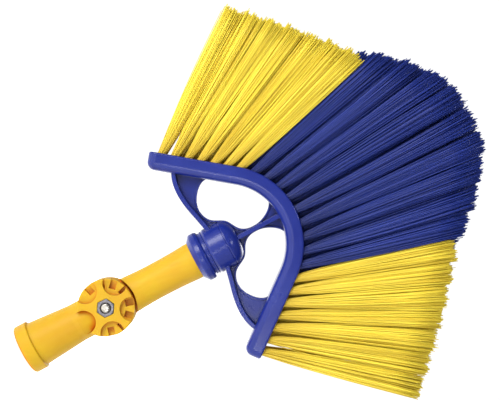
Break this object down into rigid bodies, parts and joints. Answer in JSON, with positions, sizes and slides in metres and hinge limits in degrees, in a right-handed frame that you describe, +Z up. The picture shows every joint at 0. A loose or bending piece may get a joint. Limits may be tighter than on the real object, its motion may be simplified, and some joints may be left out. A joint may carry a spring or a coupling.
{
  "type": "adjustable ceiling brush head",
  "caption": "Fan-shaped ceiling and cobweb brush head: coloured bristle tufts in a bent moulded bar with a threaded hub, on a two-piece clamped elbow with a socket for a pole.",
  "frame": {"origin": "centre of the pole socket's mouth", "axes": "+Z up the pole socket towards the bristles, with the elbow straight; +X across the fan; -Y is the side with the captive nut, +Y the side with the wing knob"},
  "size_m": [0.2718, 0.0517, 0.3176],
  "materials": {
    "arm_yellow": "moulded polypropylene, satin",
    "knob_yellow": "moulded polypropylene, satin",
    "frame_blue": "moulded polypropylene, semi-gloss",
    "bristle_yellow": "extruded filament bundles, slightly glossy",
    "bristle_blue": "extruded filament bundles, slightly glossy",
    "zinc_steel": "bright zinc plate",
    "anchor_steel": "drawn flat wire"
  },
  "bodies": {
    "lower_arm": {"socket_arm": "arm_yellow", "clamp_nut": "zinc_steel"},
    "washer": {"clamp_washer": "zinc_steel"},
    "head": {"spigot_arm": "arm_yellow", "brush_frame": "frame_blue", "anchors_front": "anchor_steel", "anchors_middle": "anchor_steel", "anchors_back": "anchor_steel", "tuft_front_01": "bristle_yellow", "tuft_front_02": "bristle_yellow", "tuft_front_03": "bristle_yellow", "tuft_front_04": "bristle_yellow", "tuft_front_05": "bristle_yellow", "tuft_front_06": "bristle_yellow", "tuft_front_07": "bristle_yellow", "tuft_front_08": "bristle_blue", "tuft_front_09": "bristle_blue", "tuft_front_10": "bristle_blue", "tuft_front_11": "bristle_blue", "tuft_front_12": "bristle_blue", "tuft_front_13": "bristle_blue", "tuft_front_14": "bristle_blue", "tuft_front_15": "bristle_blue", "tuft_front_16": "bristle_blue", "tuft_front_17": "bristle_yellow", "tuft_front_18": "bristle_yellow", "tuft_front_19": "bristle_yellow", "tuft_front_20": "bristle_yellow", "tuft_front_21": "bristle_yellow", "tuft_front_22": "bristle_yellow", "tuft_front_23": "bristle_yellow", "tufts_middle_left": "bristle_yellow", "tufts_middle_blue": "bristle_blue", "tufts_middle_right": "bristle_yellow", "tuft_back_01": "bristle_yellow", "tuft_back_02": "bristle_yellow", "tuft_back_03": "bristle_yellow", "tuft_back_04": "bristle_yellow", "tuft_back_05": "bristle_yellow", "tuft_back_06": "bristle_yellow", "tuft_back_07": "bristle_yellow", "tuft_back_08": "bristle_blue", "tuft_back_09": "bristle_blue", "tuft_back_10": "bristle_blue", "tuft_back_11": "bristle_blue", "tuft_back_12": "bristle_blue", "tuft_back_13": "bristle_blue", "tuft_back_14": "bristle_blue", "tuft_back_15": "bristle_blue", "tuft_back_16": "bristle_blue", "tuft_back_17": "bristle_yellow", "tuft_back_18": "bristle_yellow", "tuft_back_19": "bristle_yellow", "tuft_back_20": "bristle_yellow", "tuft_back_21": "bristle_yellow", "tuft_back_22": "bristle_yellow", "tuft_back_23": "bristle_yellow"},
    "wing_screw": {"wing_knob": "knob_yellow", "clamp_bolt": "zinc_steel"}
  },
  "joints": [
    {"name": "clamp_travel", "type": "slide", "parent": "lower_arm", "child": "washer", "axis": [0, 1, 0], "range_m": [-0.0014, 0.001]},
    {"name": "elbow", "type": "hinge", "parent": "washer", "child": "head", "pos_m": [0, 0, 0.0592], "axis": [0, 1, 0], "range_deg": [-90, 90]},
    {"name": "wing_turn", "type": "hinge", "parent": "washer", "child": "wing_screw", "pos_m": [0, 0, 0.0592], "axis": [0, 1, 0], "range_deg": [-505, 361]}
  ],
  "couplings": [
    {"joint": "wing_turn", "follows": "clamp_travel", "rad_per_m": 6283.2}
  ]
}
